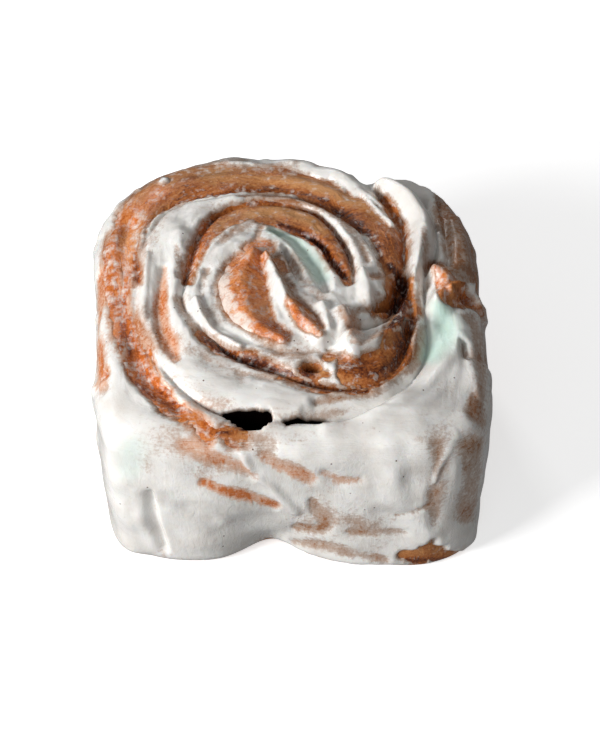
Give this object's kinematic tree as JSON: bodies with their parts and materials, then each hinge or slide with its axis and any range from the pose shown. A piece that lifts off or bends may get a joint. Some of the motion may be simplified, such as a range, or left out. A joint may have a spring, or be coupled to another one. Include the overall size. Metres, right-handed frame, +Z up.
{
  "type": "cinnamon roll",
  "caption": "Squarish pan-baked cinnamon roll with a coiled dough body, dark filling in its seams and cream icing over its top and sides.",
  "frame": {"origin": "centre of the bounding box's bottom face, on the flat underside the roll rests on", "axes": "+Z up out of the coiled top, -Y out of the broad iced front, +X to that front's right as it is faced"},
  "size_m": [0.1016, 0.1038, 0.0551],
  "materials": {
    "baked_dough": "soft browned crumb with a satin crust",
    "cinnamon_filling": "wet dark syrup",
    "cream_icing": "smooth moist glaze"
  },
  "bodies": {
    "root": {"rolled_dough": "baked_dough", "cinnamon_filling": "cinnamon_filling", "cream_icing": "cream_icing"}
  },
  "joints": []
}
